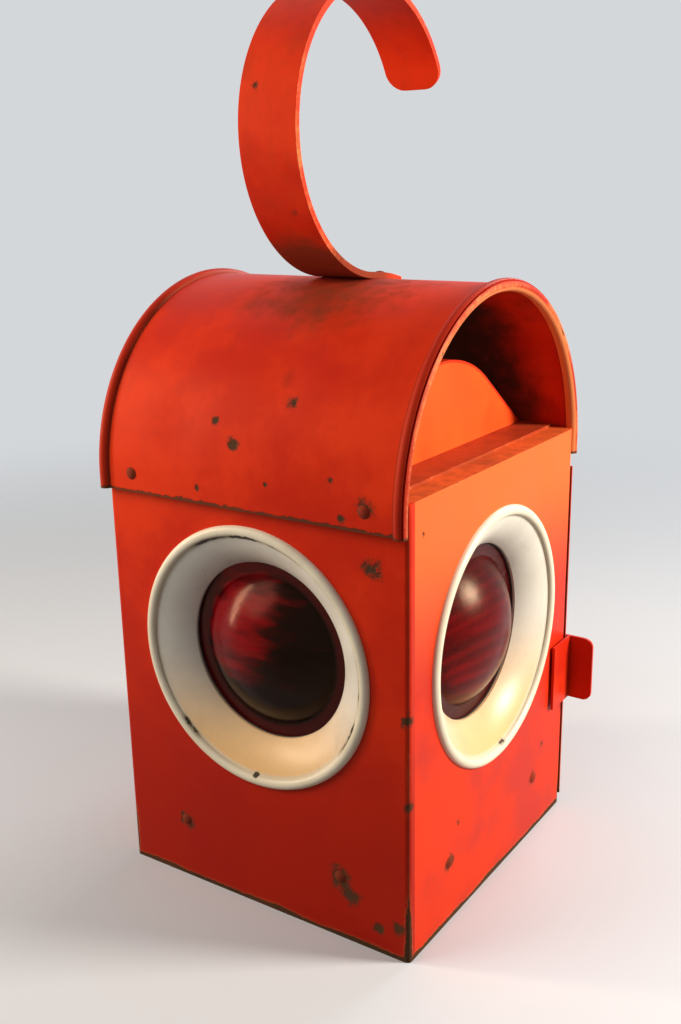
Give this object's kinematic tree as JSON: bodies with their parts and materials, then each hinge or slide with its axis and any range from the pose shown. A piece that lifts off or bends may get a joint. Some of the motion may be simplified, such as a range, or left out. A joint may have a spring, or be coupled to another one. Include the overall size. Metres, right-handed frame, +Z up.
{
  "type": "road danger lamp",
  "caption": "Paraffin road danger lamp: square sheet-steel house, ruby bull's-eye lenses in white dishes, barrel hood with strap hook, hinged rear door over an oil burner.",
  "frame": {"origin": "centre of the flat underside of the floor pan", "axes": "+Z up, -Y towards the front lens, +Y towards the rear door, +X towards the latch side"},
  "size_m": [0.1581, 0.1508, 0.3581],
  "materials": {
    "orange_paint": "worn gloss",
    "white_enamel": "chipped gloss",
    "ruby_glass": "polished",
    "seal_rubber": "matte",
    "spring_steel": "satin",
    "tinplate": "dull tinned",
    "burner_brass": "tarnished",
    "wick_cotton": "woven"
  },
  "bodies": {
    "house": {"front_panel": "orange_paint", "left_panel": "orange_paint", "right_panel": "orange_paint", "rear_head": "orange_paint", "rear_sill": "orange_paint", "floor_pan": "orange_paint", "floor_rivets": "orange_paint", "top_deck": "orange_paint", "inner_roof": "orange_paint", "roof_end_left": "orange_paint", "roof_end_right": "orange_paint", "hood": "orange_paint", "hood_rivets": "orange_paint", "hook": "orange_paint", "hook_rivets": "orange_paint", "hook_backing": "orange_paint", "hinge_rivets_body": "orange_paint", "body_leaf_lower": "orange_paint", "body_leaf_upper": "orange_paint", "dish_front": "white_enamel", "dish_left": "white_enamel", "dish_right": "white_enamel", "lens_front": "ruby_glass", "lens_left": "ruby_glass", "lens_right": "ruby_glass", "seal_front": "seal_rubber", "seal_left": "seal_rubber", "seal_right": "seal_rubber", "retainer_front": "spring_steel", "retainer_left": "spring_steel", "retainer_right": "spring_steel", "hinge_pin_lower": "spring_steel", "hinge_pin_upper": "spring_steel", "fount_seat": "tinplate", "hood_spacers": "tinplate"},
    "door": {"rear_door": "orange_paint", "door_baffle": "tinplate", "hinge_rivets_door": "orange_paint", "door_leaf_lower": "orange_paint", "door_leaf_upper": "orange_paint", "latch_base": "orange_paint", "latch_rivets": "orange_paint"},
    "latch": {"latch_finger": "orange_paint"},
    "fount": {"fount": "tinplate", "burner_collar": "burner_brass", "filler_neck": "tinplate", "burner_body": "burner_brass", "burner_gallery": "burner_brass", "burner_dome": "burner_brass"},
    "filler_cap": {"filler_cap": "burner_brass"},
    "wick": {"wick": "wick_cotton"},
    "wick_drive": {"wick_spindle": "burner_brass", "wick_wheels": "burner_brass", "wick_knob": "burner_brass"}
  },
  "joints": [
    {"name": "door_hinge", "type": "hinge", "parent": "house", "child": "door", "pos_m": [-0.0726, 0.0729, 0.084], "axis": [0, 0, 1], "range_deg": [0, 120]},
    {"name": "latch_spring", "type": "hinge", "parent": "door", "child": "latch", "pos_m": [0.0703, 0.0725, 0.0695], "axis": [0, 0, 1], "range_deg": [0, 10], "stiffness_Nm_per_rad": 0.4},
    {"name": "fount_lift", "type": "slide", "parent": "house", "child": "fount", "axis": [0, 0, 1], "range_m": [0, 0.008]},
    {"name": "filler_cap_lift", "type": "slide", "parent": "fount", "child": "filler_cap", "axis": [0, 0, 1], "range_m": [0, 0.02]},
    {"name": "wick_knob_turn", "type": "hinge", "parent": "fount", "child": "wick_drive", "pos_m": [0.0062, 0.034, 0.062], "axis": [0, 1, 0], "range_deg": [0, 90]},
    {"name": "wick_rise", "type": "slide", "parent": "fount", "child": "wick", "axis": [0, 0, 1], "range_m": [0, 0.0079]}
  ],
  "couplings": [
    {"joint": "wick_rise", "follows": "wick_knob_turn", "m_per_rad": 0.005}
  ]
}
